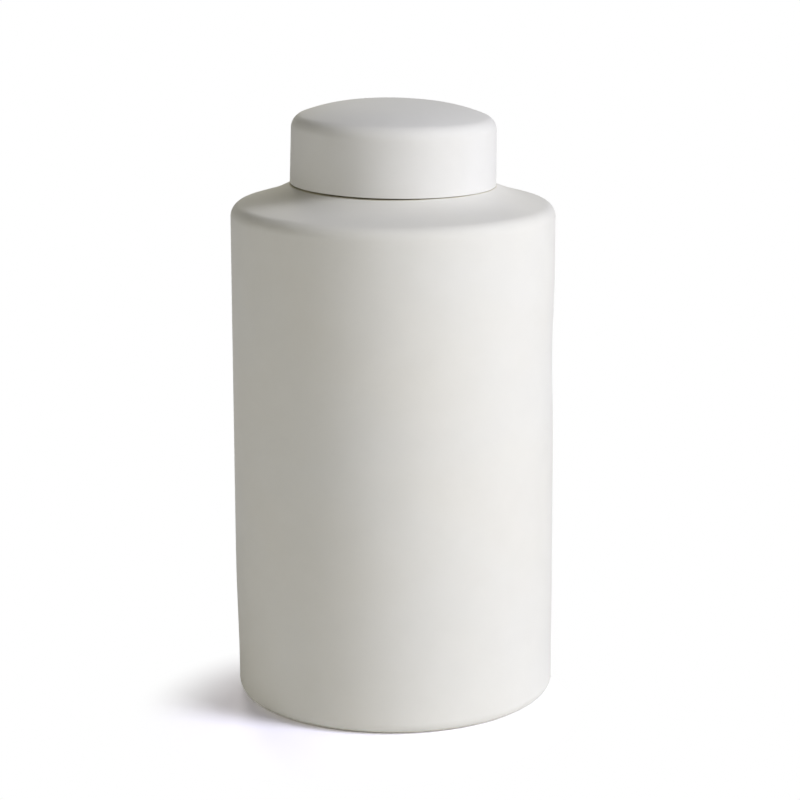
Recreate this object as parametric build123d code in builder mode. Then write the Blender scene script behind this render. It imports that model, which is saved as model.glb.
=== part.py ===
"""A tall lidded ceramic jar in two pieces: a straight round body with a sloping shoulder and a
neck collar, and a cap lid with a domed top that drops over the collar onto a turned seat.

Millimetres, +Z up. The origin is on the jar's axis, at the level that the foot ring stands on.
Both pieces are turned forms, so each is drawn as one half section in the XZ plane and revolved.
"""
from build123d import *
import os
from math import atan, cos, degrees, radians, sin, tan

# Body, outside
body_radius = 82.5
straight_wall_height = 249.8
foot_edge_round = 6.2
shoulder_edge_round = 7.1
shoulder_slope = 16.5
cove_width = 16.3
seat_slope = 26.0

# Body, foot and inside
body_wall = 5.0
floor_thickness = 6.0
floor_corner_round = 9.0
shoulder_inner_round = 8.0
foot_ring_width = 7.0
foot_recess = 2.5
foot_recess_round = 1.2
foot_ring_inner_round = 0.8

# Neck collar
neck_height = 20.0
neck_wall = 4.5
neck_taper = 0.7
neck_root_round = 1.0
neck_inner_round = 6.0
lip_round = 1.8

# Lid, outside
lid_radius = 52.4
lid_wall_height = 27.7
lid_taper = 0.35
lid_corner_round = 7.7
lid_haunch_slope = 21.2
lid_crown_radius = 25.8
lid_crown_slope = 7.2

# Lid, rim and inside
lid_wall = 4.2
lid_crown_thickness = 4.4
rim_outer_round = 1.0
rim_inner_round = 1.0
lid_inner_corner_round = 5.0
lid_inner_slope = 15.0

# Fits
neck_clearance = 1.2
seat_inset = 1.2

# The radii that the lid, its seat and the neck collar share
lid_inner_radius = lid_radius - lid_wall
neck_radius = lid_inner_radius - neck_clearance
mouth_radius = neck_radius - neck_wall
seat_radius = lid_radius - seat_inset
cove_start_radius = seat_radius + cove_width


def arc_radius(width, flatter_slope, steeper_slope):
    """Radius of an arc whose slope goes from one angle to the other over a horizontal width."""
    return width / (sin(radians(steeper_slope)) - sin(radians(flatter_slope)))


def arc_rise(width, slope_a, slope_b):
    """Height that such an arc gains over that width."""
    return width * tan(radians((slope_a + slope_b) / 2))


# Shoulder heights: the rounded edge, the straight cone, then the cove that rises to the seat
cone_start_radius = body_radius - shoulder_edge_round * (1 - sin(radians(shoulder_slope)))
cone_start_height = straight_wall_height + shoulder_edge_round * cos(radians(shoulder_slope))
cone_width = cone_start_radius - cove_start_radius
cove_start_height = cone_start_height + cone_width * tan(radians(shoulder_slope))
cove_radius = arc_radius(cove_width, shoulder_slope, seat_slope)
seat_height = cove_start_height + arc_rise(cove_width, shoulder_slope, seat_slope)
neck_top_height = seat_height + neck_height
neck_top_radius = neck_radius - neck_taper

# The hollow keeps one wall thickness under the cone, measured square to it
cavity_radius = body_radius - body_wall
cavity_floor_height = foot_recess + floor_thickness
shoulder_wall_drop = body_wall / cos(radians(shoulder_slope))


def cavity_shoulder_height(radius):
    """Height of the cone's underside at a radius."""
    rise = (cone_start_radius - radius) * tan(radians(shoulder_slope))
    return cone_start_height + rise - shoulder_wall_drop


# Jar body
foot_ring_outer_radius = body_radius - foot_edge_round
foot_ring_inner_radius = foot_ring_outer_radius - foot_ring_width

with BuildPart() as jar_body:
    with BuildSketch(Plane.XZ):
        with BuildLine():
            base = Line((0, 0), (foot_ring_outer_radius, 0))
            foot_edge = JernArc(base @ 1, base % 1, foot_edge_round, 90)
            wall = Line(foot_edge @ 1, (body_radius, straight_wall_height))
            shoulder_edge = JernArc(wall @ 1, wall % 1, shoulder_edge_round, 90 - shoulder_slope)
            cone = Line(shoulder_edge @ 1, (cove_start_radius, cove_start_height))
            cove = JernArc(cone @ 1, cone % 1, cove_radius, shoulder_slope - seat_slope)
            seat = Line(cove @ 1, (neck_radius + neck_root_round, seat_height))
            neck_root = JernArc(seat @ 1, seat % 1, neck_root_round, -90)
            neck = Line(neck_root @ 1, (neck_top_radius, neck_top_height))
            Polyline(neck @ 1, (0, neck_top_height), (0, 0))
        make_face()
        # The hollow: flat floor, straight wall, the cone's underside and the mouth
        with BuildLine():
            FilletPolyline(
                (0, cavity_floor_height),
                (cavity_radius, cavity_floor_height),
                (cavity_radius, cavity_shoulder_height(cavity_radius)),
                (mouth_radius, cavity_shoulder_height(mouth_radius)),
                (mouth_radius, neck_top_height),
                radius=(floor_corner_round, shoulder_inner_round, neck_inner_round),
            )
            Polyline((mouth_radius, neck_top_height), (0, neck_top_height), (0, cavity_floor_height))
        make_face(mode=Mode.SUBTRACT)
        # The shallow recess inside the foot ring
        with BuildLine():
            FilletPolyline(
                (0, foot_recess),
                (foot_ring_inner_radius, foot_recess),
                (foot_ring_inner_radius, 0),
                radius=foot_recess_round,
            )
            Polyline((foot_ring_inner_radius, 0), (0, 0), (0, foot_recess))
        make_face(mode=Mode.SUBTRACT)
    revolve(axis=Axis.Z)
    lip_edges = jar_body.edges().filter_by(GeomType.CIRCLE).group_by(Axis.Z)[-1]
    fillet(lip_edges, lip_round)
    foot_edges = jar_body.edges().filter_by(GeomType.CIRCLE).group_by(Axis.Z)[0]
    fillet(foot_edges.sort_by(SortBy.RADIUS)[0], foot_ring_inner_round)

# Lid heights: the tapered wall, the rounded corner, the haunch and the crown
lid_wall_top_height = seat_height + lid_wall_height
lid_wall_top_radius = lid_radius - lid_taper
lid_lean = degrees(atan(lid_taper / (lid_wall_height - rim_outer_round)))
haunch_start_radius = lid_wall_top_radius - lid_corner_round * (
    cos(radians(lid_lean)) - sin(radians(lid_haunch_slope))
)
haunch_start_height = lid_wall_top_height + lid_corner_round * (
    cos(radians(lid_haunch_slope)) - sin(radians(lid_lean))
)
haunch_width = haunch_start_radius - lid_crown_radius
crown_start_height = haunch_start_height + arc_rise(haunch_width, lid_crown_slope, lid_haunch_slope)
apex_height = crown_start_height + arc_rise(lid_crown_radius, 0, lid_crown_slope)

# Inside of the lid, worked down from the underside of the crown to the rim
ceiling_height = apex_height - lid_crown_thickness
ceiling_radius = lid_inner_radius - lid_inner_corner_round * (1 - sin(radians(lid_inner_slope)))
ceiling_edge_height = ceiling_height - arc_rise(ceiling_radius, 0, lid_inner_slope)
lid_inner_wall_top = ceiling_edge_height - lid_inner_corner_round * cos(radians(lid_inner_slope))

# Lid
with BuildPart() as lid:
    with BuildSketch(Plane.XZ):
        with BuildLine():
            rim = Line((0, seat_height), (lid_radius - rim_outer_round, seat_height))
            rim_edge = JernArc(rim @ 1, rim % 1, rim_outer_round, 90)
            lid_side = Line(rim_edge @ 1, (lid_wall_top_radius, lid_wall_top_height))
            corner_turn = 90 - lid_lean - lid_haunch_slope
            corner = JernArc(lid_side @ 1, lid_side % 1, lid_corner_round, corner_turn)
            haunch = TangentArc(corner @ 1, (lid_crown_radius, crown_start_height), tangent=corner % 1)
            crown = TangentArc(haunch @ 1, (0, apex_height), tangent=haunch % 1)
            Line(crown @ 1, (0, seat_height))
        make_face()
        # The hollow: a straight wall, rounded eaves and a domed ceiling
        with BuildLine():
            inner_side = Line((lid_inner_radius, seat_height), (lid_inner_radius, lid_inner_wall_top))
            eaves = TangentArc(inner_side @ 1, (ceiling_radius, ceiling_edge_height), tangent=inner_side % 1)
            ceiling = TangentArc(eaves @ 1, (0, ceiling_height), tangent=eaves % 1)
            Polyline(ceiling @ 1, (0, seat_height), inner_side @ 0)
        make_face(mode=Mode.SUBTRACT)
    revolve(axis=Axis.Z)
    rim_edges = lid.edges().filter_by(GeomType.CIRCLE).group_by(Axis.Z)[0]
    fillet(rim_edges.sort_by(SortBy.RADIUS)[0], rim_inner_round)

jar_body.part.label = "jar_body"
lid.part.label = "lid"

os.makedirs("parts", exist_ok=True)
export_step(jar_body.part, "parts/jar_body.step")
export_step(lid.part, "parts/lid.step")

print(f"seat at {seat_height:.2f}, neck top at {neck_top_height:.2f}, apex at {apex_height:.2f}")
print(f"neck radius {neck_radius:.2f}, mouth radius {mouth_radius:.2f}, seat radius {seat_radius:.2f}")
print(f"cavity radius {cavity_radius:.2f} from {cavity_floor_height:.2f} up")
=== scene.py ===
"""Dresses a packed two-piece ceramic jar: a straight round body and a domed cap lid, both in a
matte off-white glaze that leaves the foot, the seat and the lid's rim as bare clay.

Everything is in metres, +Z up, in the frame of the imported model. Each piece is drawn as half an
outline in edit mode, spun round the jar's axis and given the slight unevenness of the real one.
"""
from math import atan, atan2, copysign, cos, radians, sin, tan, tau

import bpy
from bpy.props import FloatProperty, FloatVectorProperty, PointerProperty
from mathutils import Matrix, Vector


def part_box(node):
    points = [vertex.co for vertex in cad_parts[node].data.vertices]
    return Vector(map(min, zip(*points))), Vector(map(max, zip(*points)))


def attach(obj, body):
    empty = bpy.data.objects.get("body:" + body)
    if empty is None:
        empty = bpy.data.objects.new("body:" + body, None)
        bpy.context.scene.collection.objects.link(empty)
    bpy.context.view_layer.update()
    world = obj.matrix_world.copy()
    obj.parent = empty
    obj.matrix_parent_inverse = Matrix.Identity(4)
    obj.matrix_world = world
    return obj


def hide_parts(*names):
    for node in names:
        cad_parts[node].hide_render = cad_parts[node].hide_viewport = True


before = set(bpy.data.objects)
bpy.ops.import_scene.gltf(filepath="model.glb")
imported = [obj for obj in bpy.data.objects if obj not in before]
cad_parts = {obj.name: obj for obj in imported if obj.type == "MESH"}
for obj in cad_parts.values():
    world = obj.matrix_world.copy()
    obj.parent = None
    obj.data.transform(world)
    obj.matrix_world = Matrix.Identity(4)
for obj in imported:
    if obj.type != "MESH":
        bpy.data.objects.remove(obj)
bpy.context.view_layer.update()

bl_info = {
    "name": "Lidded Jar",
    "version": (1, 0, 0),
    "blender": (4, 5, 0),
    "location": "View3D > Sidebar > Lidded Jar",
    "description": "Models a glazed jar and its cap lid on their packed frame, with a pale studio",
    "category": "Mesh",
}

BODY_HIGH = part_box("jar_body")[1]
LID_LOW, LID_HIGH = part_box("lid")

TINY = 1e-6                          # metres; points closer than this are one point
FACING_OUT = (0.2, 0.6)              # shares of facing outwards where the waves start and are full
WARM_SHARES = (1.0, 0.985, 0.955)    # the warm end of the glaze's drift, as shares of its colour
PALE_SHARES = (1.0, 1.01, 1.03)      # the pale end
CLOUD_STRENGTH = 0.12                # brightness that the quick drift has at full mottle
THIN_EDGE = (0.0012, 0.0008)         # softness and wander of the edge where the glaze runs thin
THIN_COVER = 0.85                    # how far the thin colour covers the glaze's own
CLAY_EDGE = (0.00035, 0.0009)        # softness and wander of the edge of the bare clay
GRAIN = {"Slow Scale": 300.0, "Quick Scale": 900.0}    # scales of the clay's grain
DARK_GRAIN = 0.82                    # how dark the clay's darkest grains are
ROUGHNESS_SPREAD = 0.10              # how far the glaze's roughness drifts in all
SANDY_RELIEF = 3.0                   # depth of the clay's grain, in depths of the glaze's skin
GLAZE_IOR = 1.5


def length_property(name, description, default):
    """A length in metres."""
    return FloatProperty(
        name=name,
        description=description,
        default=default,
        precision=5,
        subtype="DISTANCE",
        unit="LENGTH",
    )


def angle_property(name, description, default):
    """An angle whose default is given in degrees."""
    return FloatProperty(
        name=name,
        description=description,
        default=radians(default),
        subtype="ANGLE",
        unit="ROTATION",
    )


def colour_property(name, description, default):
    """A linear colour without alpha."""
    return FloatVectorProperty(
        name=name,
        description=description,
        default=default,
        size=3,
        min=0.0,
        max=1.0,
        subtype="COLOR",
    )


def share_property(name, description, default):
    """A plain number from 0 to 1."""
    return FloatProperty(
        name=name, description=description, default=default, min=0.0, max=1.0, subtype="FACTOR"
    )


def power_property(name, description, default):
    """A light's power in watts."""
    return FloatProperty(
        name=name, description=description, default=default, min=0.0, subtype="POWER"
    )


class JarBodySizes(bpy.types.PropertyGroup):
    """Sizes of the jar body's turned outline."""

    radius: length_property("Radius", "Outer radius of the straight wall", 0.0824)
    wall_height: length_property(
        "Wall height", "Height at which the shoulder's edge starts", 0.2498
    )
    seat_height: length_property(
        "Seat height", "Height of the flat ring that the lid rests on", LID_LOW.z
    )
    top_height: length_property("Top height", "Height of the neck collar's lip", BODY_HIGH.z)
    foot_edge_round: length_property("Foot edge", "Radius of the round under the wall", 0.0062)
    shoulder_edge_round: length_property(
        "Shoulder edge", "Radius between wall and shoulder", 0.0071
    )
    shoulder_slope: angle_property("Shoulder slope", "Slope of the shoulder's cone", 16.5)
    cove_width: length_property("Cove width", "Width of the hollow curve up to the seat", 0.0163)
    seat_slope: angle_property("Seat slope", "Slope of the cove where it meets the seat", 28.0)
    seat_radius: length_property("Seat radius", "Outer radius of the seat", 0.0523)
    seat_edge_round: length_property(
        "Seat edge", "Radius that softens the seat's outer edge", 0.0006
    )
    wall: length_property("Wall", "Thickness of the walls", 0.005)
    floor_height: length_property("Floor height", "Height of the hollow's floor", 0.0085)
    floor_corner_round: length_property(
        "Floor corner", "Radius between floor and wall inside", 0.009
    )
    shoulder_inner_round: length_property(
        "Inner shoulder", "Radius between wall and shoulder inside", 0.008
    )
    ring_width: length_property(
        "Foot ring width", "Width of the ring that the jar stands on", 0.007
    )
    recess: length_property("Recess", "Depth of the hollow inside the foot ring", 0.0025)
    recess_round: length_property("Recess round", "Radius in the recess's corner", 0.0012)
    ring_inner_round: length_property(
        "Ring inner edge", "Radius of the foot ring's inner edge", 0.0008
    )
    neck_radius: length_property(
        "Neck radius", "Outer radius of the neck collar at its root", 0.047
    )
    neck_wall: length_property("Neck wall", "Thickness of the neck collar at its root", 0.0045)
    neck_taper: length_property(
        "Neck taper", "How much the collar's radius shrinks to its lip", 0.0007
    )
    neck_root_round: length_property("Neck root", "Radius between seat and collar", 0.001)
    neck_inner_round: length_property(
        "Neck inner round", "Radius between collar and shoulder inside", 0.006
    )
    lip_round: length_property("Lip round", "Radius of the lip's two edges", 0.0018)
    top_tilt: angle_property("Top tilt", "How far the shoulder leans down to the right", 0.44)
    top_tilt_reach: length_property("Tilt reach", "Distance over which that lean dies out", 0.055)
    seat_drop: length_property("Seat drop", "How much lower the leaning seat lies", 0.00034)
    seat_shift: length_property("Seat shift", "How far the seat lies to the right", 0.00015)
    seat_tilt: angle_property(
        "Seat tilt", "How much further the seat leans than the shoulder", 0.25
    )
    seat_tilt_reach: length_property("Seat tilt reach", "Distance over which that dies out", 0.010)
    seat_dip: length_property(
        "Seat dip", "Depth of the slack place at the front of the seat", 0.0004
    )
    seat_dip_turn: angle_property("Seat dip turn", "How far to the left of the front it lies", 15.0)
    seat_dip_reach: length_property(
        "Seat dip reach", "Distance over which that dip dies out", 0.040
    )
    dent: length_property("Dent", "Depth of the slight dent high on the right side", 0.0009)
    dent_height: length_property("Dent height", "Height of that dent", 0.178)
    dent_reach: length_property("Dent reach", "Distance over which the dent dies out", 0.045)
    bulge: length_property("Bulge", "Depth of the slight bulge low on the right side", 0.0002)
    bulge_height: length_property("Bulge height", "Height of that bulge", 0.071)
    bulge_reach: length_property("Bulge reach", "Distance over which the bulge dies out", 0.07)
    foot_shift: length_property(
        "Foot shift", "How far the foot stands to the right of the axis", 0.0002
    )
    foot_shift_reach: length_property(
        "Foot shift reach", "Height over which that shift dies out", 0.10
    )
    foot_cut: length_property("Foot cut", "How much the foot's left side is trimmed in", 0.0010)
    foot_cut_height: length_property(
        "Foot cut height", "Height of the middle of that trimmed side", 0.012
    )
    foot_cut_reach: length_property(
        "Foot cut reach", "Distance over which the trim dies out", 0.055
    )


class LidSizes(bpy.types.PropertyGroup):
    """Sizes of the cap lid's turned outline."""

    radius: length_property("Radius", "Outer radius of the lid at its rim", 0.05225)
    rim_height: length_property("Rim height", "Height of the rim that rests on the seat", LID_LOW.z)
    wall_height: length_property("Wall height", "Height of the lid's upright wall", 0.0277)
    taper: length_property("Taper", "How much the wall's radius shrinks to its top", 0.00035)
    corner_round: length_property("Corner", "Radius between wall and top", 0.0077)
    haunch_slope: angle_property("Haunch slope", "Slope of the top where the corner ends", 21.2)
    crown_radius: length_property("Crown radius", "Radius of the flatter middle of the top", 0.0258)
    crown_slope: angle_property(
        "Crown slope", "Slope of the top where the flatter middle ends", 7.2
    )
    wall: length_property("Wall", "Thickness of the wall", 0.0042)
    crown_thickness: length_property(
        "Crown thickness", "Thickness in the middle of the top", 0.0044
    )
    rim_outer_round: length_property("Rim outer edge", "Radius of the rim's outer edge", 0.0002)
    rim_inner_round: length_property("Rim inner edge", "Radius of the rim's inner edge", 0.001)
    eaves_round: length_property("Eaves", "Radius between wall and ceiling inside", 0.005)
    ceiling_slope: angle_property("Ceiling slope", "Slope of the ceiling at the eaves", 15.0)
    tilt: angle_property("Tilt", "How far the lid leans down to the right", 1.05)
    shift: length_property("Shift", "How far the loose lid sits to the right on its seat", 0.00005)
    rise: length_property("Rise", "How much higher the middle of the leaning lid sits", 0.00012)
    crown_lift: length_property("Crown lift", "How much fuller the middle of the top is", 0.00025)
    crown_lift_reach: length_property(
        "Crown lift reach", "Distance over which that dies out", 0.045
    )


class GlazeFinish(bpy.types.PropertyGroup):
    """Colours and texture of the glaze and the bare clay."""

    body_colour: colour_property("Body glaze", "Colour of the body's glaze", (0.790, 0.782, 0.748))
    lid_colour: colour_property("Lid glaze", "Colour of the lid's glaze", (0.790, 0.787, 0.774))
    thin_colour: colour_property(
        "Thin glaze", "Colour where the glaze runs thin", (0.79, 0.785, 0.66)
    )
    clay_colour: colour_property("Bare clay", "Colour of the unglazed clay", (0.74, 0.70, 0.57))
    glaze_roughness: share_property("Glaze roughness", "Roughness of the matte glaze", 0.74)
    glaze_gloss: share_property(
        "Glaze gloss", "Strength of the glaze's reflections, 0.5 for glass", 0.25
    )
    clay_roughness: share_property("Clay roughness", "Roughness of the bare clay", 0.86)
    mottle: share_property("Mottle", "How far the glaze's tone drifts over the surface", 0.30)
    skin_depth: length_property("Skin depth", "Depth of the glaze's fine orange-peel skin", 0.00002)
    unevenness: length_property(
        "Unevenness", "Depth of the slow waves that hand finishing leaves", 0.00022
    )


class StudioSettings(bpy.types.PropertyGroup):
    """The camera, the lights and the floor."""

    camera_place: FloatVectorProperty(
        name="Camera place",
        description="Where the camera stands",
        default=(0.0034, -1.3523, 0.4689),
        size=3,
        subtype="TRANSLATION",
        unit="LENGTH",
    )
    camera_pitch: angle_property("Camera pitch", "How far the camera looks down", 13.145)
    camera_roll: angle_property("Camera roll", "How far the camera leans", -0.106)
    lens: FloatProperty(
        name="Lens", description="Focal length in millimetres", default=121.1, min=1.0
    )
    key_watts: power_property("Key", "Power of the key light on the right", 66.0)
    high_watts: power_property("High", "Power of the light above the key light", 88.0)
    side_watts: power_property("Side", "Power of the softbox high on the right", 31.0)
    front_watts: power_property("Front", "Power of the softbox behind the camera", 53.0)
    left_watts: power_property("Left", "Power of the softbox that fills the shaded side", 40.0)
    back_watts: power_property("Back", "Power of the small light behind the jar", 52.0)
    card_watts: power_property("Card", "Power of the low reflector card behind on the left", 0.25)
    warm_colour: colour_property(
        "Warm light", "Colour of the lights in front, on the left and behind", (1.0, 0.966, 0.84)
    )
    cool_colour: colour_property(
        "Cool light", "Colour of the lights on the right and of the card", (0.94, 0.945, 1.0)
    )
    floor_size: length_property("Floor size", "Width of the floor", 12.0)
    floor_tone: share_property("Floor tone", "How much light the floor gives back to the jar", 0.96)
    floor_glare: FloatProperty(
        name="Floor glare", description="How overexposed the floor looks", default=1.58
    )
    glare_start: length_property(
        "Glare start", "Radius where the floor starts to melt into white", 0.06
    )
    glare_end: length_property("Glare end", "Radius where the floor is quite white", 0.115)
    glare_place: FloatVectorProperty(
        name="Glare place",
        description="Middle of the round patch of floor that keeps its shadows",
        default=(-0.02, -0.04, 0.0),
        size=3,
        subtype="TRANSLATION",
        unit="LENGTH",
    )


class OutlinePen:
    """Draws half the outline of a turned form in edit mode, upright in the plane Y = 0.

    The tip starts as one vertex. Its heading is 0 when it points away from the axis and a quarter
    turn when it points up. A turn above zero is to the left.
    """

    seed_size = 0.001

    def __init__(self, name, radius, height):
        bpy.ops.object.select_all(action="DESELECT")
        bpy.ops.mesh.primitive_plane_add(size=self.seed_size, location=(radius, 0, height))
        self.piece = bpy.context.object
        self.piece.name = name
        self.piece.data.name = name
        bpy.ops.object.transform_apply(location=True, rotation=False, scale=False)
        bpy.ops.object.mode_set(mode="EDIT")
        bpy.ops.mesh.select_all(action="SELECT")
        bpy.ops.mesh.merge(type="CENTER")
        self.tip = Vector((radius, 0, height))
        self.heading = 0.0

    def line_to(self, radius, height, steps=1):
        """Extrudes the tip along a straight line, in equal steps."""
        way = Vector((radius, 0, height)) - self.tip
        for _ in range(steps):
            bpy.ops.mesh.extrude_region_move(TRANSFORM_OT_translate={"value": way / steps})
        self.tip += way
        self.heading = atan2(way.z, way.x)

    def forward(self, distance, steps=1):
        """Extrudes the tip straight ahead."""
        radius = self.tip.x + distance * cos(self.heading)
        height = self.tip.z + distance * sin(self.heading)
        self.line_to(radius, height, steps)

    def turn(self, angle, radius, steps):
        """Spins the tip round an arc that leaves along its heading."""
        side = copysign(1, angle)
        to_centre = Vector((-sin(self.heading), 0, cos(self.heading))) * radius * side
        centre = self.tip + to_centre
        bpy.ops.mesh.spin(steps=steps, angle=abs(angle), center=centre, axis=(0, side, 0))
        self.tip = centre - Matrix.Rotation(-angle, 3, "Y") @ to_centre
        self.heading += angle

    def spin_round(self, segments):
        """Spins the whole outline round the jar's axis and closes the mesh."""
        bpy.ops.mesh.select_all(action="SELECT")
        bpy.ops.mesh.spin(steps=segments, angle=tau, center=(0, 0, 0), axis=(0, 0, 1))
        bpy.ops.mesh.select_all(action="SELECT")
        bpy.ops.mesh.remove_doubles(threshold=TINY)
        bpy.ops.mesh.normals_make_consistent(inside=False)
        bpy.ops.object.mode_set(mode="OBJECT")
        bpy.ops.object.shade_smooth()
        return self.piece


def smooth_step(value, start, end):
    """0 at start, 1 at end and a soft rise between them."""
    share = min(max((value - start) / (end - start), 0.0), 1.0)
    return share * share * (3 - 2 * share)


def make_uneven(piece, depth, wave, weight_at):
    """Pushes the outer skin in and out by slow clouds. weight_at gives the share at a vertex."""
    group = piece.vertex_groups.new(name="uneven_skin")
    for vertex in piece.data.vertices:
        weight = weight_at(vertex)
        if weight > 0:
            group.add([vertex.index], weight, "REPLACE")
    clouds = bpy.data.textures.new(piece.name + "_waves", "CLOUDS")
    clouds.noise_scale = wave
    clouds.noise_depth = 1
    bpy.ops.object.modifier_add(type="DISPLACE")
    displace = piece.modifiers[-1]
    displace.texture = clouds
    displace.texture_coords = "LOCAL"
    displace.strength = depth
    displace.mid_level = 0.5
    displace.vertex_group = group.name
    bpy.ops.object.modifier_apply(modifier=displace.name)


def choose_points(piece, wanted):
    """Leaves edit mode with only the vertices selected that the test wanted picks."""
    bpy.ops.object.mode_set(mode="EDIT")
    bpy.ops.mesh.select_all(action="DESELECT")
    bpy.ops.object.mode_set(mode="OBJECT")
    for vertex in piece.data.vertices:
        vertex.select = wanted(vertex)
    bpy.ops.object.mode_set(mode="EDIT")


def nudge(piece, push, reach, wanted):
    """Pushes the wanted points, and the clay round them with a soft falloff."""
    choose_points(piece, wanted)
    bpy.ops.transform.translate(
        value=push,
        use_proportional_edit=True,
        proportional_edit_falloff="SMOOTH",
        proportional_size=reach,
    )
    bpy.ops.object.mode_set(mode="OBJECT")


def nearest_to(piece, radius, height, turn=0.0):
    """A test for the one vertex nearest to a place. turn is its angle about the axis, from +X."""
    place = Vector((radius * cos(turn), radius * sin(turn), height))
    nearest = min(piece.data.vertices, key=lambda vertex: (vertex.co - place).length).index
    return lambda vertex: vertex.index == nearest


def lean_right(piece, angle, centre, wanted, reach=0.0):
    """Leans the wanted points down to the right, and those within reach of them less and less."""
    choose_points(piece, wanted)
    soft = {"proportional_edit_falloff": "SMOOTH", "proportional_size": reach} if reach else {}
    bpy.ops.transform.rotate(
        value=-angle,
        orient_axis="Y",
        center_override=centre,
        use_proportional_edit=reach > 0,
        **soft,
    )
    bpy.ops.object.mode_set(mode="OBJECT")


def outward_share(vertex):
    """How far a vertex's normal points away from the jar's axis, from -1 to 1."""
    flat = Vector((vertex.co.x, vertex.co.y, 0))
    if flat.length < TINY:
        return 0.0
    return vertex.normal.dot(flat.normalized())


class NodeDesk:
    """Adds nodes to one tree and joins them. An input is given a value or another node's output."""

    def __init__(self, tree):
        self.tree = tree

    def add(self, kind, inputs=None, **settings):
        made = self.tree.nodes.new(kind)
        for name, value in settings.items():
            setattr(made, name, value)
        for socket, value in (inputs or {}).items():
            if isinstance(value, bpy.types.NodeSocket):
                self.tree.links.new(value, made.inputs[socket])
            else:
                made.inputs[socket].default_value = value
        return made

    def math(self, operation, *values):
        return self.add("ShaderNodeMath", dict(enumerate(values)), operation=operation).outputs[0]

    def mix(self, factor, first, second):
        """Mixes two colours. A Mix node keeps its colour sockets at 6 and 7 and its result at 2."""
        made = self.add("ShaderNodeMix", {0: factor, 6: first, 7: second}, data_type="RGBA")
        return made.outputs[2]


def new_group(name, inputs, outputs):
    """A shader node group with named sockets. inputs maps each name to its default."""
    group = bpy.data.node_groups.new(name, "ShaderNodeTree")
    group.interface.new_socket(name="Vector", in_out="INPUT", socket_type="NodeSocketVector")
    number = "NodeSocketFloat"
    for socket_name, default in inputs.items():
        socket = group.interface.new_socket(name=socket_name, in_out="INPUT", socket_type=number)
        socket.default_value = default
    for socket_name in outputs:
        group.interface.new_socket(name=socket_name, in_out="OUTPUT", socket_type=number)
    desk = NodeDesk(group)
    return group, desk, desk.add("NodeGroupInput").outputs, desk.add("NodeGroupOutput")


def glaze_mottle_group():
    """Slow and quick drifts of tone in a glaze. Drift and Cloud are near 0.5 on average."""
    group, desk, given, result = new_group(
        "glaze_mottle", {"Slow Scale": 14.0, "Quick Scale": 70.0}, ["Drift", "Cloud"]
    )
    for scale, detail, output in (("Slow Scale", 2.0, "Drift"), ("Quick Scale", 4.0, "Cloud")):
        inputs = {"Vector": given["Vector"], "Scale": given[scale], "Detail": detail}
        noise = desk.add("ShaderNodeTexNoise", inputs)
        desk.tree.links.new(noise.outputs[0], result.inputs[output])
    return group


def band_group():
    """A ring between two heights and two radii, with a soft, slightly wandering edge."""
    limits = {"Low Height": 0.0, "High Height": 1.0, "Inner Radius": 0.0, "Outer Radius": 1.0}
    edge = {"Soft Edge": 0.0005, "Wander": 0.0, "Wander Scale": 60.0}
    group, desk, given, result = new_group("surface_band", {**limits, **edge}, ["Mask"])
    noise = desk.add(
        "ShaderNodeTexNoise", {"Vector": given["Vector"], "Scale": given["Wander Scale"]}
    )
    wander = desk.math("MULTIPLY", desk.math("SUBTRACT", noise.outputs[0], 0.5), given["Wander"])
    place = desk.add("ShaderNodeSeparateXYZ", {"Vector": given["Vector"]}).outputs
    flat = desk.add("ShaderNodeCombineXYZ", {"X": place["X"], "Y": place["Y"]})
    across = desk.add("ShaderNodeVectorMath", {0: flat.outputs[0]}, operation="LENGTH")
    height = desk.math("ADD", place["Z"], wander)
    radius = desk.math("ADD", across.outputs["Value"], wander)
    back = desk.math("MULTIPLY", given["Soft Edge"], -1.0)

    def past(first, second):
        """1 where first is more than second, with the soft edge between."""
        lead = desk.math("SUBTRACT", first, second)
        step = desk.add(
            "ShaderNodeMapRange",
            {"Value": lead, "From Min": back, "From Max": given["Soft Edge"]},
            interpolation_type="SMOOTHSTEP",
        )
        return step.outputs["Result"]

    above, below = past(height, given["Low Height"]), past(given["High Height"], height)
    outside, inside = past(radius, given["Inner Radius"]), past(given["Outer Radius"], radius)
    up_down = desk.math("MULTIPLY", above, below)
    in_out = desk.math("MULTIPLY", outside, inside)
    desk.tree.links.new(desk.math("MULTIPLY", up_down, in_out), result.inputs["Mask"])
    return group


def glaze_skin_group():
    """The relief of a matte glaze, 0 to 1: a soft orange peel with a few shallow pinholes."""
    values = {"Peel Scale": 420.0, "Pinhole Scale": 160.0, "Pinhole Size": 0.10}
    group, desk, given, result = new_group("glaze_skin", values, ["Height"])
    place = given["Vector"]
    peel = desk.add(
        "ShaderNodeTexNoise", {"Vector": place, "Scale": given["Peel Scale"], "Detail": 3.0}
    )
    cells = desk.add("ShaderNodeTexVoronoi", {"Vector": place, "Scale": given["Pinhole Scale"]})
    hole = desk.add(
        "ShaderNodeMapRange",
        {"Value": cells.outputs["Distance"], "From Max": given["Pinhole Size"]},
        interpolation_type="SMOOTHSTEP",
    )
    height = desk.math("MULTIPLY", peel.outputs[0], hole.outputs["Result"])
    desk.tree.links.new(height, result.inputs["Height"])
    return group


def shared_group(maker, name):
    """The node group of that name, made the first time that a material needs it."""
    return bpy.data.node_groups.get(name) or maker()


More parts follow.
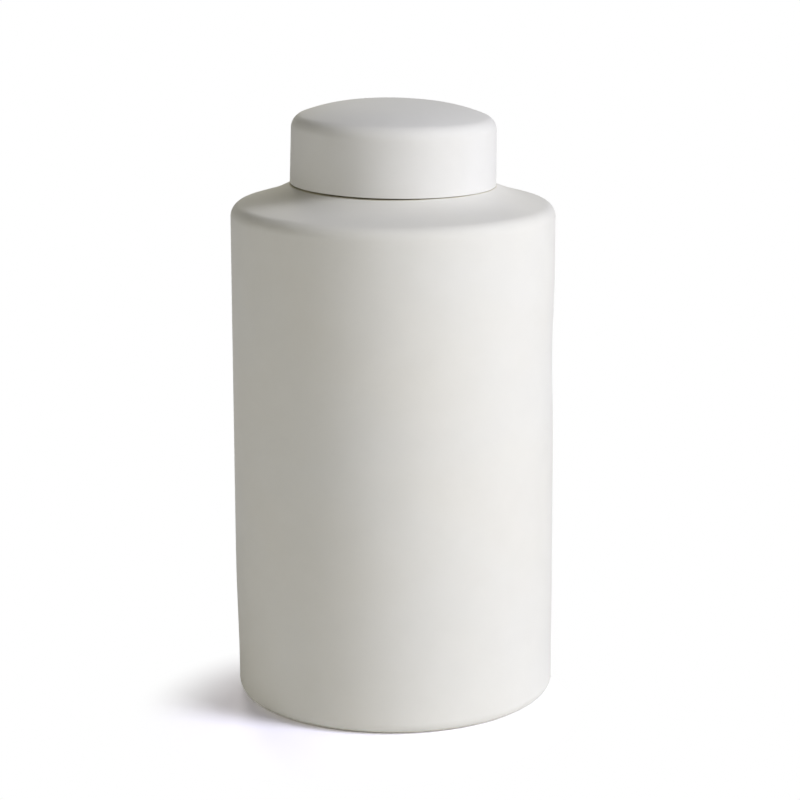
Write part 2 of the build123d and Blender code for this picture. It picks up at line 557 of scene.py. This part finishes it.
def glazed_ceramic(name, glaze_colour, clay_bands, thin_bands):
    """A matte glaze that thins over edges and stops short of the bare clay.

    A band is (low height, high height, inner radius, outer radius).
    """
    finish = bpy.context.scene.glaze_finish
    material = bpy.data.materials.new(name)
    material.use_nodes = True
    material.diffuse_color = (*glaze_colour, 1.0)
    desk = NodeDesk(material.node_tree)
    shader = material.node_tree.nodes["Principled BSDF"]
    place = desk.add("ShaderNodeTexCoord").outputs["Object"]

    def group(maker, group_name, values):
        tree = shared_group(maker, group_name)
        return desk.add("ShaderNodeGroup", {"Vector": place, **values}, node_tree=tree)

    def bands(listed, edge):
        """The share of all listed bands together. edge is (softness, wander)."""
        names = ("Low Height", "High Height", "Inner Radius", "Outer Radius", "Soft Edge", "Wander")
        total = None
        for band in listed:
            values = dict(zip(names, (*band, *edge)))
            mask = group(band_group, "surface_band", values).outputs["Mask"]
            total = mask if total is None else desk.math("MAXIMUM", total, mask)
        return total

    def shaded(colour, shares):
        """A colour with each channel times its share, and full alpha."""
        return (*(channel * share for channel, share in zip(colour, shares)), 1.0)

    mottle = group(glaze_mottle_group, "glaze_mottle", {}).outputs
    warm_tone, pale_tone = shaded(glaze_colour, WARM_SHARES), shaded(glaze_colour, PALE_SHARES)
    tone = desk.mix(mottle["Drift"], warm_tone, pale_tone)
    cloud = desk.math("SUBTRACT", mottle["Cloud"], 0.5)
    shade = desk.math("MULTIPLY", cloud, finish.mottle * CLOUD_STRENGTH)
    bright = desk.add("ShaderNodeBrightContrast", {"Color": tone, "Bright": shade})
    thin = desk.math("MULTIPLY", bands(thin_bands, THIN_EDGE), THIN_COVER)
    glaze = desk.mix(thin, bright.outputs[0], (*finish.thin_colour, 1.0))
    clay = bands(clay_bands, CLAY_EDGE)
    grain = group(glaze_mottle_group, "glaze_mottle", GRAIN).outputs
    dark_clay = shaded(finish.clay_colour, (DARK_GRAIN,) * 3)
    clay_tone = desk.mix(grain["Cloud"], dark_clay, (*finish.clay_colour, 1.0))
    desk.tree.links.new(desk.mix(clay, glaze, clay_tone), shader.inputs["Base Color"])

    smoothest = finish.glaze_roughness - ROUGHNESS_SPREAD / 2
    drift = desk.math("MULTIPLY_ADD", mottle["Cloud"], ROUGHNESS_SPREAD, smoothest)
    rough = desk.add(
        "ShaderNodeMapRange", {"Value": clay, "To Min": drift, "To Max": finish.clay_roughness}
    )
    desk.tree.links.new(rough.outputs["Result"], shader.inputs["Roughness"])

    skin = group(glaze_skin_group, "glaze_skin", {}).outputs["Height"]
    sandy = desk.math("MULTIPLY", desk.math("MULTIPLY", grain["Cloud"], clay), SANDY_RELIEF)
    relief = desk.math("ADD", skin, sandy)
    bump = desk.add(
        "ShaderNodeBump", {"Height": relief, "Strength": 1.0, "Distance": finish.skin_depth}
    )
    desk.tree.links.new(bump.outputs["Normal"], shader.inputs["Normal"])
    shader.inputs["IOR"].default_value = GLAZE_IOR
    shader.inputs["Specular IOR Level"].default_value = finish.glaze_gloss
    return material


def dress(piece, material, body, node):
    """Gives a finished piece its material and its place in the frame."""
    piece.data.materials.append(material)
    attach(piece, body)
    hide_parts(node)


class LIDDEDJAR_OT_model_body(bpy.types.Operator):
    """Turns the jar body with its foot ring, sloping shoulder, seat, neck collar and hollow"""

    bl_idname = "lidded_jar.model_body"
    bl_label = "Model Jar Body"
    bl_options = {"REGISTER", "UNDO"}

    segments = 256
    wave = 0.075                # metres from wave to wave in the uneven wall
    foot_fade = (0.003, 0.03)   # heights where the waves start and are full
    seat_fade = 0.002           # how far outside the seat the waves stop
    under_seat = 0.001          # the top starts this far under the seat
    below, above, beyond = -0.01, 0.4, 0.2    # two heights and a radius that lie past the jar
    inside_foot, inside_seat = 0.06, 0.04     # radii between the rings of bare clay
    inside_lip, outside_lip = 0.03, 0.06

    def draw_underside(self, pen, size):
        """The recess inside the foot ring, and the ring itself, from the axis outwards."""
        ring_outer = size.radius - size.foot_edge_round
        ring_inner = ring_outer - size.ring_width
        pen.line_to(ring_inner - size.recess_round, size.recess, steps=8)
        pen.turn(-tau / 4, size.recess_round, steps=6)
        pen.line_to(ring_inner, size.ring_inner_round)
        pen.turn(tau / 4, size.ring_inner_round, steps=6)
        pen.line_to(ring_outer, 0, steps=4)

    def draw_outside(self, pen, size):
        """The foot's rounded edge, the wall, and the shoulder up to the seat."""
        pen.turn(tau / 4, size.foot_edge_round, steps=14)
        pen.line_to(size.radius, size.wall_height, steps=72)
        pen.turn(tau / 4 - size.shoulder_slope, size.shoulder_edge_round, steps=16)
        cove_start = size.seat_radius + size.cove_width
        pen.forward((pen.tip.x - cove_start) / cos(size.shoulder_slope), steps=3)
        edge_tangent = size.seat_edge_round * tan(size.seat_slope / 2)
        arc_width = size.cove_width - edge_tangent * cos(size.seat_slope)
        cove_radius = arc_width / (sin(size.seat_slope) - sin(size.shoulder_slope))
        pen.turn(size.shoulder_slope - size.seat_slope, cove_radius, steps=8)
        pen.turn(size.seat_slope, size.seat_edge_round, steps=4)

    def draw_neck(self, pen, size):
        """The seat, the neck collar and its lip."""
        pen.line_to(size.neck_radius + size.neck_root_round, size.seat_height, steps=2)
        pen.turn(-tau / 4, size.neck_root_round, steps=6)
        top_radius = size.neck_radius - size.neck_taper
        pen.line_to(top_radius, size.top_height - size.lip_round, steps=6)
        pen.heading = tau / 4
        pen.turn(tau / 4, size.lip_round, steps=8)
        pen.line_to(size.neck_radius - size.neck_wall + size.lip_round, size.top_height)
        pen.turn(tau / 4, size.lip_round, steps=8)

    def draw_inside(self, pen, size):
        """The hollow: under the shoulder, down the wall and in along the floor to the axis."""
        mouth_radius = size.neck_radius - size.neck_wall
        hollow_radius = size.radius - size.wall
        cone_radius = size.radius - size.shoulder_edge_round * (1 - sin(size.shoulder_slope))
        cone_height = size.wall_height + size.shoulder_edge_round * cos(size.shoulder_slope)

        def ceiling_height(radius):
            rise = (cone_radius - radius) * tan(size.shoulder_slope)
            return cone_height + rise - size.wall / cos(size.shoulder_slope)

        bend = tau / 4 - size.shoulder_slope
        neck_tangent = size.neck_inner_round * tan(bend / 2)
        shoulder_tangent = size.shoulder_inner_round * tan(bend / 2)
        pen.line_to(mouth_radius, ceiling_height(mouth_radius) + neck_tangent, steps=4)
        pen.turn(bend, size.neck_inner_round, steps=10)
        run = (hollow_radius - mouth_radius) / cos(size.shoulder_slope)
        pen.forward(run - neck_tangent - shoulder_tangent, steps=4)
        pen.turn(-bend, size.shoulder_inner_round, steps=10)
        pen.line_to(hollow_radius, size.floor_height + size.floor_corner_round, steps=24)
        pen.turn(-tau / 4, size.floor_corner_round, steps=12)
        pen.line_to(0, size.floor_height, steps=12)

    def knock_about(self, piece, size):
        """Gives the finished body its dent, bulge, trimmed foot, and leaning shoulder and seat."""

        def at_foot(vertex):
            return vertex.co.z < size.floor_height

        def on_top(vertex):
            return vertex.co.z > size.seat_height - self.under_seat

        right_dent = nearest_to(piece, size.radius, size.dent_height)
        nudge(piece, (-size.dent, 0, 0), size.dent_reach, right_dent)
        right_bulge = nearest_to(piece, size.radius, size.bulge_height)
        nudge(piece, (size.bulge, 0, 0), size.bulge_reach, right_bulge)
        nudge(piece, (size.foot_shift, 0, 0), size.foot_shift_reach, at_foot)
        left_foot = nearest_to(piece, -size.radius, size.foot_cut_height)
        nudge(piece, (size.foot_cut, 0, 0), size.foot_cut_reach, left_foot)

        nudge(piece, (size.seat_shift, 0, -size.seat_drop), size.top_tilt_reach, on_top)
        seat_middle = (0, 0, size.seat_height)
        lean_right(piece, size.top_tilt, seat_middle, on_top, size.top_tilt_reach)
        lean_right(piece, size.seat_tilt, seat_middle, on_top, size.seat_tilt_reach)
        dip_turn = -tau / 4 - size.seat_dip_turn
        dip = nearest_to(piece, size.seat_radius, size.seat_height, dip_turn)
        nudge(piece, (0, 0, -size.seat_dip), size.seat_dip_reach, dip)

    def bare_places(self, size, foot, seat_down, seat_up, seat_out, lip_down):
        """The bands of the foot ring, the seat and the lip, and how far each one reaches."""
        seat, lip = size.seat_height, size.top_height - size.lip_round / 2
        return [
            (self.below, foot, self.inside_foot, self.beyond),
            (seat - seat_down, seat + seat_up, self.inside_seat, size.seat_radius + seat_out),
            (lip - lip_down, self.above, self.inside_lip, self.outside_lip),
        ]

    def execute(self, context):
        size = context.scene.jar_body_sizes
        finish = context.scene.glaze_finish
        pen = OutlinePen("glazed_jar", 0, size.recess)
        self.draw_underside(pen, size)
        self.draw_outside(pen, size)
        self.draw_neck(pen, size)
        self.draw_inside(pen, size)
        piece = pen.spin_round(self.segments)

        def weight_at(vertex):
            """The wall and the shoulder's outside, fading out at the foot and towards the seat."""
            radius = Vector(vertex.co.xy).length
            upward = vertex.normal.z if vertex.co.z > size.wall_height else 0
            seat_end = size.seat_radius + self.seat_fade
            return (
                smooth_step(max(outward_share(vertex), upward), *FACING_OUT)
                * smooth_step(vertex.co.z, *self.foot_fade)
                * smooth_step(radius, seat_end, size.seat_radius + size.cove_width)
            )

        make_uneven(piece, finish.unevenness, self.wave, weight_at)
        self.knock_about(piece, size)
        clay = self.bare_places(
            size, foot=0.0006, seat_down=0.0014, seat_up=0.0006, seat_out=0.0002, lip_down=0.0
        )
        thin = self.bare_places(
            size, foot=0.0012, seat_down=0.0016, seat_up=0.0010, seat_out=-0.001, lip_down=0.0015
        )
        material = glazed_ceramic("body_satin_glaze", finish.body_colour, clay, thin)
        dress(piece, material, "jar", "jar_body")
        return {"FINISHED"}


class LIDDEDJAR_OT_model_lid(bpy.types.Operator):
    """Turns the cap lid with its domed top, upright wall and hollow"""

    bl_idname = "lidded_jar.model_lid"
    bl_label = "Model Lid"
    bl_options = {"REGISTER", "UNDO"}

    segments = 256
    wave = 0.055                # metres from wave to wave in the uneven outside
    rim_fade = (0.001, 0.012)   # heights over the rim where the waves start and are full
    bare_low, bare_high = -0.01, 0.0012       # heights of the bare clay, from the rim
    bare_inside = 0.03                        # a radius inside the wall
    clay_margin, thin_margin = 0.0005, 0.0014 # how far inside the wall's skin the bands stop

    def draw_outside(self, pen, size):
        """The domed top from its middle outwards, the corner and the wall down to the rim."""
        top_radius = size.radius - size.taper
        lean = atan(size.taper / (size.wall_height - size.rim_outer_round))
        haunch_start = top_radius - size.corner_round * (cos(lean) - sin(size.haunch_slope))
        haunch_width = haunch_start - size.crown_radius
        haunch_radius = haunch_width / (sin(size.haunch_slope) - sin(size.crown_slope))
        pen.turn(-size.crown_slope, size.crown_radius / sin(size.crown_slope), steps=14)
        pen.turn(size.crown_slope - size.haunch_slope, haunch_radius, steps=12)
        pen.turn(size.haunch_slope + lean - tau / 4, size.corner_round, steps=16)
        pen.line_to(size.radius, size.rim_height + size.rim_outer_round, steps=10)
        pen.heading = -tau / 4
        pen.turn(-tau / 4, size.rim_outer_round, steps=8)

    def draw_inside(self, pen, size):
        """The rim, the inner wall, the eaves and the ceiling in to the axis."""
        inner_radius = size.radius - size.wall
        ceiling_radius = inner_radius - size.eaves_round * (1 - sin(size.ceiling_slope))
        ceiling_sweep = ceiling_radius / sin(size.ceiling_slope)
        middle_height = LID_HIGH.z - size.crown_thickness
        eaves_height = (
            middle_height
            - ceiling_radius * tan(size.ceiling_slope / 2)
            - size.eaves_round * cos(size.ceiling_slope)
        )
        pen.line_to(inner_radius + size.rim_inner_round, size.rim_height, steps=2)
        pen.turn(-tau / 4, size.rim_inner_round, steps=8)
        pen.line_to(inner_radius, eaves_height, steps=6)
        pen.turn(tau / 4 - size.ceiling_slope, size.eaves_round, steps=12)
        pen.turn(size.ceiling_slope, ceiling_sweep, steps=14)

    def execute(self, context):
        size = context.scene.lid_sizes
        finish = context.scene.glaze_finish
        pen = OutlinePen("glazed_lid", 0, LID_HIGH.z)
        self.draw_outside(pen, size)
        self.draw_inside(pen, size)
        piece = pen.spin_round(self.segments)

        rim = size.rim_height
        fade_start, fade_end = (rim + height for height in self.rim_fade)

        def weight_at(vertex):
            """The outside of the wall and the top, fading out at the rim."""
            facing = max(outward_share(vertex), vertex.normal.z)
            return smooth_step(facing, *FACING_OUT) * smooth_step(
                vertex.co.z, fade_start, fade_end
            )

        make_uneven(piece, finish.unevenness, self.wave, weight_at)
        crown = nearest_to(piece, 0, LID_HIGH.z)
        nudge(piece, (0, 0, size.crown_lift), size.crown_lift_reach, crown)
        lean_right(piece, size.tilt, (0, 0, rim), lambda vertex: True)
        bpy.ops.object.mode_set(mode="EDIT")
        bpy.ops.transform.translate(value=(size.shift, 0, size.rise))
        bpy.ops.object.mode_set(mode="OBJECT")
        clay, thin = (
            [(rim + self.bare_low, rim + self.bare_high, self.bare_inside, size.radius - margin)]
            for margin in (self.clay_margin, self.thin_margin)
        )
        material = glazed_ceramic("lid_satin_glaze", finish.lid_colour, clay, thin)
        dress(piece, material, "cap", "lid")
        return {"FINISHED"}


class LIDDEDJAR_OT_set_stage(bpy.types.Operator):
    """Sets up the pale floor, the soft lights and the camera"""

    bl_idname = "lidded_jar.set_stage"
    bl_label = "Set Stage"
    bl_options = {"REGISTER", "UNDO"}

    middle = Vector((0, 0, 0.15))    # where the softboxes aim
    foot = Vector((0, 0, 0.03))      # where the card aims
    distance = 4.5                   # from the softboxes to the middle
    large, small = 2.65, 1.06        # widths of the softboxes
    glare_tint = (1.0, 0.985, 1.12)  # the overexposed floor's colour, as shares of its glare
    sensor_width = 36.0              # millimetres
    clip_start = 0.05

    def set_floor(self, studio):
        """A matte floor. The camera sees it overexposed, and further out it melts into white."""
        bpy.ops.object.select_all(action="DESELECT")
        bpy.ops.mesh.primitive_plane_add(size=studio.floor_size, location=(0, 0, 0))
        floor = bpy.context.object
        floor.name = "studio_floor"
        material = bpy.data.materials.new("floor_paper")
        material.use_nodes = True
        desk = NodeDesk(material.node_tree)
        material.node_tree.nodes.remove(material.node_tree.nodes["Principled BSDF"])

        def mix_shaders(factor, first, second):
            shaders = {0: factor, 1: first.outputs[0], 2: second.outputs[0]}
            return desk.add("ShaderNodeMixShader", shaders)

        tone = (studio.floor_tone,) * 3
        glare = [studio.floor_glare * share for share in self.glare_tint]
        paper = desk.add("ShaderNodeBsdfDiffuse", {"Color": (*tone, 1.0)})
        bright = desk.add("ShaderNodeBsdfDiffuse", {"Color": (*glare, 1.0)})
        place = desk.add("ShaderNodeTexCoord").outputs["Object"]
        ends = {0: place, 1: studio.glare_place}
        out = desk.add("ShaderNodeVectorMath", ends, operation="DISTANCE").outputs["Value"]
        melt = desk.add(
            "ShaderNodeMapRange",
            {"Value": out, "From Min": studio.glare_start, "From Max": studio.glare_end},
            interpolation_type="SMOOTHSTEP",
        )
        white = desk.add("ShaderNodeEmission", {"Color": (1, 1, 1, 1), "Strength": 1.0})
        shown = mix_shaders(melt.outputs["Result"], bright, white)
        path = desk.add("ShaderNodeLightPath")
        seen = mix_shaders(path.outputs["Is Camera Ray"], paper, shown)
        output = material.node_tree.nodes["Material Output"]
        desk.tree.links.new(seen.outputs[0], output.inputs["Surface"])
        floor.data.materials.append(material)

    def set_world(self, context):
        """White for the camera and dark for everything else: the softboxes give all the light."""
        world = context.scene.world or bpy.data.worlds.new("studio")
        context.scene.world = world
        world.use_nodes = True
        world.node_tree.nodes.clear()
        desk = NodeDesk(world.node_tree)
        white = desk.add("ShaderNodeBackground", {"Color": (1, 1, 1, 1)})
        path = desk.add("ShaderNodeLightPath")
        desk.tree.links.new(path.outputs["Is Camera Ray"], white.inputs["Strength"])
        output = desk.add("ShaderNodeOutputWorld")
        desk.tree.links.new(white.outputs[0], output.inputs["Surface"])

    def add_light(
        self, name, target, azimuth, elevation, distance, width, height, watts, colour
    ):
        """An area light aimed at a target. Azimuth 0 is on the camera's side, 90 on its right."""
        across, up = radians(azimuth), radians(elevation)
        aim = Vector((sin(across) * cos(up), -cos(across) * cos(up), sin(up)))
        bpy.ops.object.light_add(
            type="AREA",
            location=target + aim * distance,
            rotation=aim.to_track_quat("Z", "Y").to_euler(),
        )
        light = bpy.context.object
        light.name = name
        light.data.shape = "RECTANGLE"
        light.data.size = width
        light.data.size_y = height
        light.data.energy = watts
        light.data.color = colour

    def set_lights(self, studio):
        """Softboxes round the jar, strongest on the right, and a low card behind on the left."""
        warm, cool = studio.warm_colour, studio.cool_colour
        softboxes = (
            ("key_light", 58, 20, self.small, studio.key_watts, cool),
            ("high_light", 69, 35, self.small, studio.high_watts, cool),
            ("side_softbox", 90, 60, self.large, studio.side_watts, cool),
            ("front_softbox", 0, 8, self.large, studio.front_watts, warm),
            ("left_softbox", -100, 8, self.large, studio.left_watts, warm),
            ("back_light", 190, 20, self.small, studio.back_watts, warm),
        )
        for name, azimuth, elevation, side, watts, colour in softboxes:
            self.add_light(
                name, self.middle, azimuth, elevation, self.distance, side, side, watts, colour
            )
        self.add_light(
            "back_card",
            self.foot,
            azimuth=-140,
            elevation=6,
            distance=0.5,
            width=0.5,
            height=0.12,
            watts=studio.card_watts,
            colour=cool,
        )

    def set_camera(self, context, studio):
        """The camera stands in front, a little above, and looks slightly down."""
        tilt = Matrix.Rotation(tau / 4 - studio.camera_pitch, 4, "X")
        lean = Matrix.Rotation(studio.camera_roll, 4, "Z")
        turned = (tilt @ lean).to_euler()
        bpy.ops.object.camera_add(location=studio.camera_place, rotation=turned)
        camera = bpy.context.object
        camera.name = "front_camera"
        camera.data.lens = studio.lens
        camera.data.sensor_width = self.sensor_width
        camera.data.clip_start = self.clip_start
        context.scene.camera = camera

    def execute(self, context):
        studio = context.scene.studio_settings
        self.set_floor(studio)
        self.set_world(context)
        self.set_lights(studio)
        self.set_camera(context, studio)
        context.scene.view_settings.view_transform = "Standard"
        return {"FINISHED"}


class LIDDEDJAR_PT_panel(bpy.types.Panel):
    """Lists the jar's operators and sizes"""

    bl_idname = "LIDDEDJAR_PT_panel"
    bl_label = "Lidded Jar"
    bl_space_type = "VIEW_3D"
    bl_region_type = "UI"
    bl_category = "Lidded Jar"

    def draw(self, context):
        layout = self.layout
        for operator in OPERATORS:
            layout.operator(operator.bl_idname)
        for group in SETTINGS:
            settings = getattr(context.scene, group)
            column = layout.column(align=True)
            for name in settings.bl_rna.properties.keys():
                if name not in ("rna_type", "name"):
                    column.prop(settings, name)


OPERATORS = (LIDDEDJAR_OT_model_body, LIDDEDJAR_OT_model_lid, LIDDEDJAR_OT_set_stage)
SETTINGS = {
    "jar_body_sizes": JarBodySizes,
    "lid_sizes": LidSizes,
    "glaze_finish": GlazeFinish,
    "studio_settings": StudioSettings,
}
CLASSES = (*SETTINGS.values(), *OPERATORS, LIDDEDJAR_PT_panel)


def register():
    for cls in CLASSES:
        bpy.utils.register_class(cls)
    for name, group in SETTINGS.items():
        setattr(bpy.types.Scene, name, PointerProperty(type=group))


def unregister():
    for name in SETTINGS:
        delattr(bpy.types.Scene, name)
    for cls in reversed(CLASSES):
        bpy.utils.unregister_class(cls)


def main():
    register()
    bpy.ops.lidded_jar.model_body()
    bpy.ops.lidded_jar.model_lid()
    bpy.ops.lidded_jar.set_stage()


if __name__ == "__main__":
    main()
